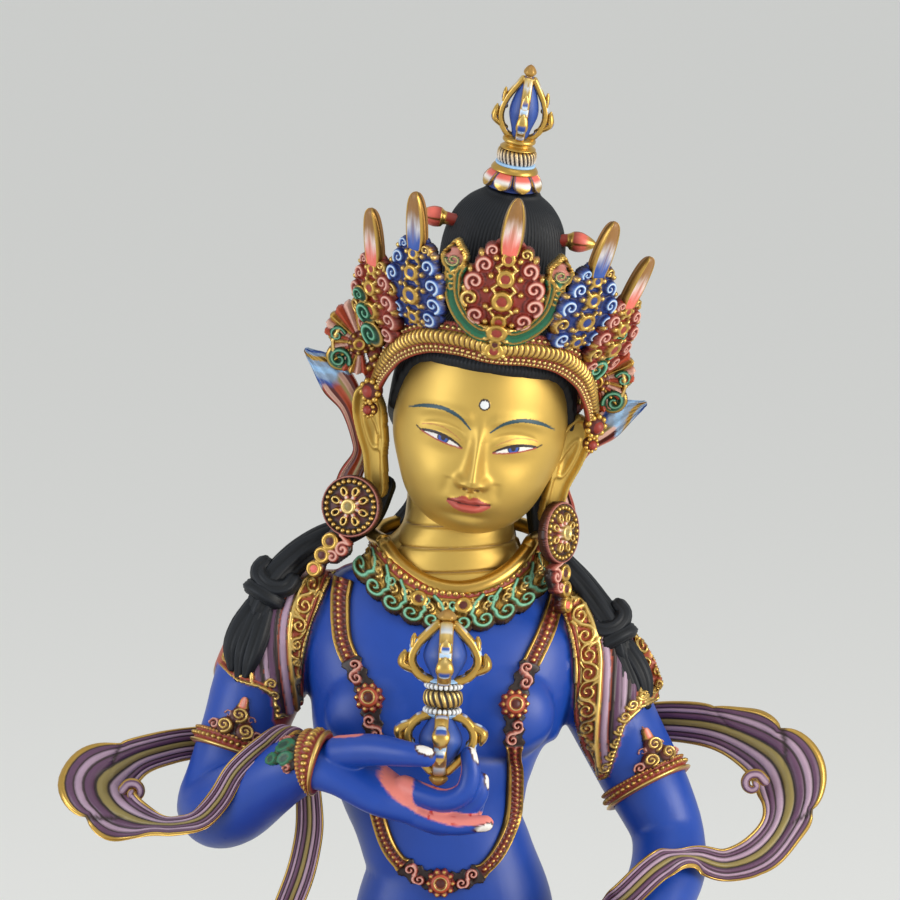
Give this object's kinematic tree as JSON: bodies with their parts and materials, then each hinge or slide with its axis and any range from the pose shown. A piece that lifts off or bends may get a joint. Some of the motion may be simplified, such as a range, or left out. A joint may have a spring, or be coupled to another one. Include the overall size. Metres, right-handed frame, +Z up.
{
  "type": "seated deity statue",
  "caption": "Painted cast copper statue of seated Vajrasattva with crown, sceptre, bell and billowing scarf on an oval lotus pedestal.",
  "frame": {"origin": "centre of the underside of the lotus pedestal's bounding box", "axes": "+Z up, the statue faces -Y, +X is the figure's left hand side; the pedestal stands on z = 0"},
  "size_m": [0.282, 0.194, 0.3698],
  "materials": {
    "figure": "satin cobalt blue paint on copper, with matt gold face, red and gold painted jewellery and orange cloth",
    "crown": "red, gold, green and blue painted relief",
    "topknot_finial": "matt gold paint with blue core",
    "earrings": "dark red and gold painted relief",
    "scarf": "purple and lavender striped paint with gold hems",
    "vajra": "matt gold paint with pale and deep blue",
    "bell": "matt gold paint, orange red inside",
    "lotus_base": "red and pink painted petals with gold rims"
  },
  "bodies": {
    "root": {"figure": "figure", "crown": "crown", "topknot_finial": "topknot_finial", "earring_right": "earrings", "earring_left": "earrings", "scarf_right": "scarf", "scarf_left": "scarf", "vajra": "vajra", "bell": "bell", "lotus_base": "lotus_base"}
  },
  "joints": []
}
